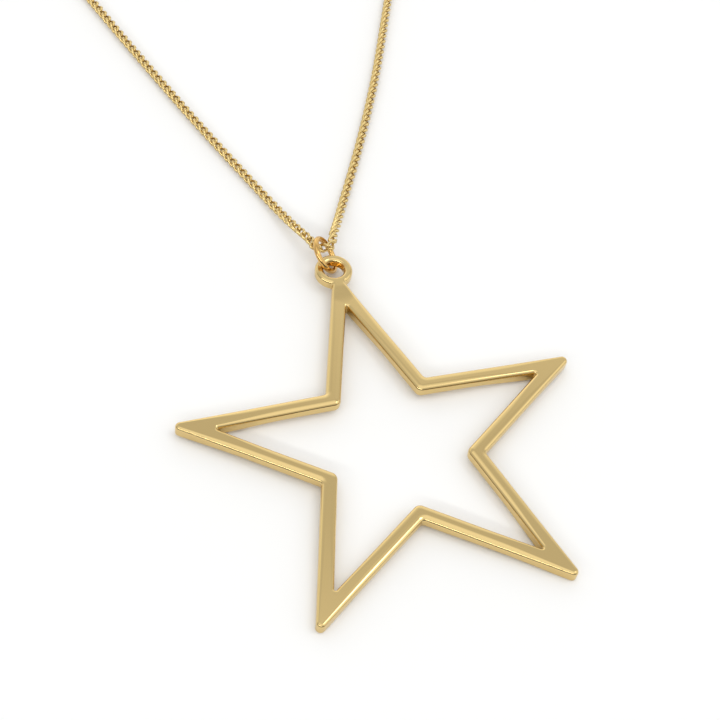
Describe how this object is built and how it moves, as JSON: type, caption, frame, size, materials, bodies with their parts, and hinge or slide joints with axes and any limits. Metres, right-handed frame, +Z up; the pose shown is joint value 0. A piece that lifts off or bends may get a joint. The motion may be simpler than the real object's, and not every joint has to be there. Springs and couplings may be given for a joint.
{
  "type": "star pendant",
  "caption": "Open star frame pendant linked by a jump ring to a fine curb chain, which a barrel clasp closes into a necklace loop.",
  "frame": {"origin": "on the table below the star's middle, in line with the star's flat back", "axes": "+Z up from the table through the star's face, +Y from the star's middle through its top point and eye to the chain"},
  "size_m": [0.0992, 0.2385, 0.0039],
  "materials": {
    "star_gold": "polished gold plate on a cast star",
    "ring_gold": "polished gold-plated round wire",
    "chain_gold": "polished gold-plated curb links",
    "clasp_gold": "polished gold-plated barrel"
  },
  "bodies": {
    "root": {"star_pendant": "star_gold", "jump_ring": "ring_gold", "chain": "chain_gold", "clasp": "clasp_gold"}
  },
  "joints": []
}
